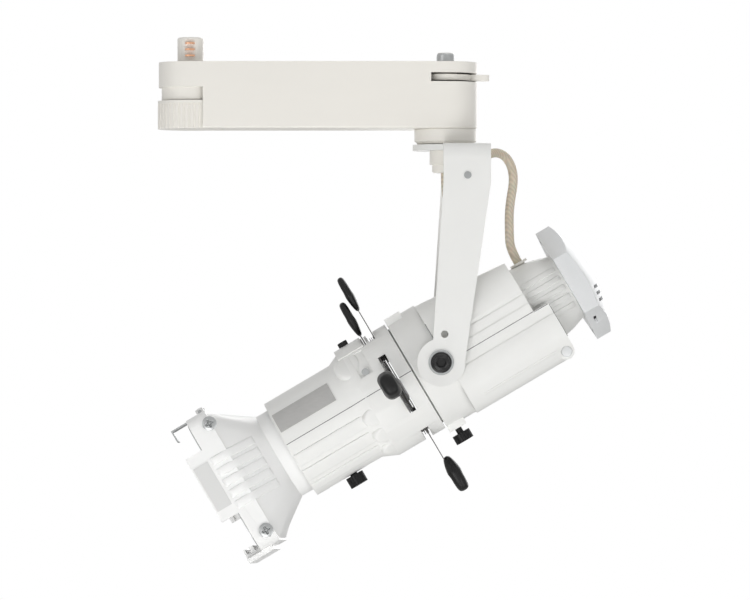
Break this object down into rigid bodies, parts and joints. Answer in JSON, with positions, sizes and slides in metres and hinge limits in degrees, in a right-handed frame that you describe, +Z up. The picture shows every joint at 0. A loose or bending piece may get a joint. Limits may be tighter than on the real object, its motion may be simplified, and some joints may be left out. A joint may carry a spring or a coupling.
{
  "type": "ellipsoidal spotlight",
  "caption": "Small ellipsoidal spotlight hung in a yoke from a track adapter, with shutters, pattern slot, focusing lens tube and colour-frame holder.",
  "frame": {"origin": "pan axis at the level where the adapter's top pad meets the underside of the track", "axes": "+Z up along the pan axis; the adapter and the track run along X; the light points towards -X, 30.6 degrees below level; +Y points away from the side with the label plate"},
  "size_m": [0.2355, 0.1286, 0.2749],
  "materials": {
    "cream_plastic": "moulded, slightly glossy",
    "white_enamel": "white stove enamel on castings",
    "white_gloss": "brighter white powder coat",
    "silver_grey": "satin silver-grey",
    "black_plastic": "fine matt moulded",
    "black_steel": "blackened fasteners",
    "steel": "bright rolled sheet",
    "copper": "bare copper contacts",
    "glass": "clear polished",
    "mirror_glass": "dichroic mirror coat",
    "ceramic": "unglazed ceramic",
    "grey_label": "bare grey foil",
    "pale_label": "bare pale foil",
    "lead_sleeve": "translucent heat-proof sleeve",
    "dark_board": "potted electronic block"
  },
  "bodies": {
    "adapter": {"adapter_housing": "cream_plastic", "adapter_lid": "cream_plastic", "adapter_screws": "steel", "transformer": "dark_board", "terminal_block": "cream_plastic", "swivel_collar": "cream_plastic"},
    "selector": {"selector_wheel": "cream_plastic", "contact_tower": "cream_plastic", "contact_blades": "copper"},
    "lock": {"lock_lever": "cream_plastic", "lock_cam": "steel"},
    "yoke": {"yoke": "white_enamel", "yoke_rivets": "steel", "swivel_bush": "cream_plastic", "swivel_nut": "steel", "lamp_lead": "lead_sleeve"},
    "head": {"front_ring": "white_enamel", "upper_cover": "white_enamel", "lower_shell": "white_enamel", "cross_pin": "silver_grey", "rear_neck": "white_enamel", "cable_grommet": "cream_plastic", "reflector_lamp": "mirror_glass", "lamp_capsule": "glass", "lamp_ring": "steel", "lamp_socket": "ceramic", "socket_bracket": "steel", "tilt_bolts": "black_steel", "tilt_washers": "steel"},
    "cap": {"rear_cap": "silver_grey"},
    "barrel": {"barrel_upper": "white_enamel", "barrel_lower": "white_enamel", "barrel_screws": "steel", "label_plate": "grey_label", "slot_cover": "white_enamel", "gate_plates": "steel"},
    "shutter_top": {"shutter_top_blade": "steel", "shutter_top_handle": "black_plastic"},
    "shutter_bottom": {"shutter_bottom_blade": "steel", "shutter_bottom_handle": "black_plastic"},
    "shutter_far": {"shutter_far_blade": "steel", "shutter_far_handle": "black_plastic"},
    "shutter_near": {"shutter_near_blade": "steel", "shutter_near_handle": "black_plastic"},
    "pattern": {"pattern_holder": "steel", "pattern_handle": "black_plastic"},
    "thumbscrew": {"slot_thumbscrew": "black_steel"},
    "lock_knob": {"rotation_lock_knob": "black_plastic"},
    "lens": {"lens_tube": "white_gloss", "lens_rear": "glass", "lens_front": "glass", "lens_rings": "black_steel", "front_holder": "white_gloss", "holder_screws": "steel", "holder_label": "pale_label", "clip_pin": "steel"},
    "focus": {"focus_knob": "black_plastic"},
    "clip": {"frame_clip": "steel"}
  },
  "joints": [
    {"name": "pan", "type": "hinge", "parent": "adapter", "child": "yoke", "pos_m": [0, 0, 0], "axis": [0, 0, 1], "range_deg": [-177, 177]},
    {"name": "tilt", "type": "hinge", "parent": "yoke", "child": "head", "pos_m": [-0.0028, 0, -0.1552], "axis": [0, 1, 0], "range_deg": [-69, 50], "deforming": ["lamp_lead"]},
    {"name": "barrel_turn", "type": "hinge", "parent": "head", "child": "barrel", "pos_m": [-0.0028, 0, -0.1552], "axis": [-0.8607, 0, -0.509], "range_deg": [-29, 21]},
    {"name": "shutter_top_slide", "type": "slide", "parent": "barrel", "child": "shutter_top", "axis": [0.5078, -0.0698, -0.8586], "range_m": [0, 0.012]},
    {"name": "shutter_bottom_slide", "type": "slide", "parent": "barrel", "child": "shutter_bottom", "axis": [-0.5078, 0.0698, 0.8586], "range_m": [0, 0.012]},
    {"name": "shutter_far_slide", "type": "slide", "parent": "barrel", "child": "shutter_far", "axis": [-0.0355, -0.9976, 0.06], "range_m": [0, 0.012]},
    {"name": "shutter_near_slide", "type": "slide", "parent": "barrel", "child": "shutter_near", "axis": [0.0355, 0.9976, -0.06], "range_m": [0, 0.012]},
    {"name": "pattern_slide", "type": "slide", "parent": "barrel", "child": "pattern", "axis": [-0.5078, 0.0698, 0.8586], "range_m": [0, 0.03]},
    {"name": "focus_slide", "type": "slide", "parent": "barrel", "child": "lens", "axis": [-0.8607, 0, -0.509], "range_m": [-0.006, 0.012]},
    {"name": "focus_knob_turn", "type": "hinge", "parent": "lens", "child": "focus", "pos_m": [-0.06168, 0, -0.19002], "axis": [0.5078, -0.0698, -0.8586], "range_deg": [-180, 0]},
    {"name": "lock_knob_turn", "type": "hinge", "parent": "head", "child": "lock_knob", "pos_m": [-0.01106, 0, -0.16009], "axis": [0.509, 0, -0.8607], "range_deg": [-180, 0]},
    {"name": "thumbscrew_turn", "type": "hinge", "parent": "barrel", "child": "thumbscrew", "pos_m": [-0.03637, 0, -0.17505], "axis": [-0.5078, 0.0698, 0.8586], "range_deg": [-180, 0]},
    {"name": "frame_clip_lift", "type": "hinge", "parent": "lens", "child": "clip", "pos_m": [-0.12722, 0.00283, -0.18173], "axis": [0.0355, 0.9976, -0.06], "range_deg": [0, 80]},
    {"name": "cap_twist", "type": "hinge", "parent": "head", "child": "cap", "pos_m": [-0.0028, 0, -0.1552], "axis": [-0.8607, 0, -0.509], "range_deg": [0, 30]},
    {"name": "circuit_selector", "type": "hinge", "parent": "adapter", "child": "selector", "pos_m": [-0.1325, 0, 0], "axis": [0, 0, 1], "range_deg": [-90, 0]},
    {"name": "track_lock", "type": "hinge", "parent": "adapter", "child": "lock", "pos_m": [0, 0, 0], "axis": [0, 0, 1], "range_deg": [-90, 0]}
  ]
}
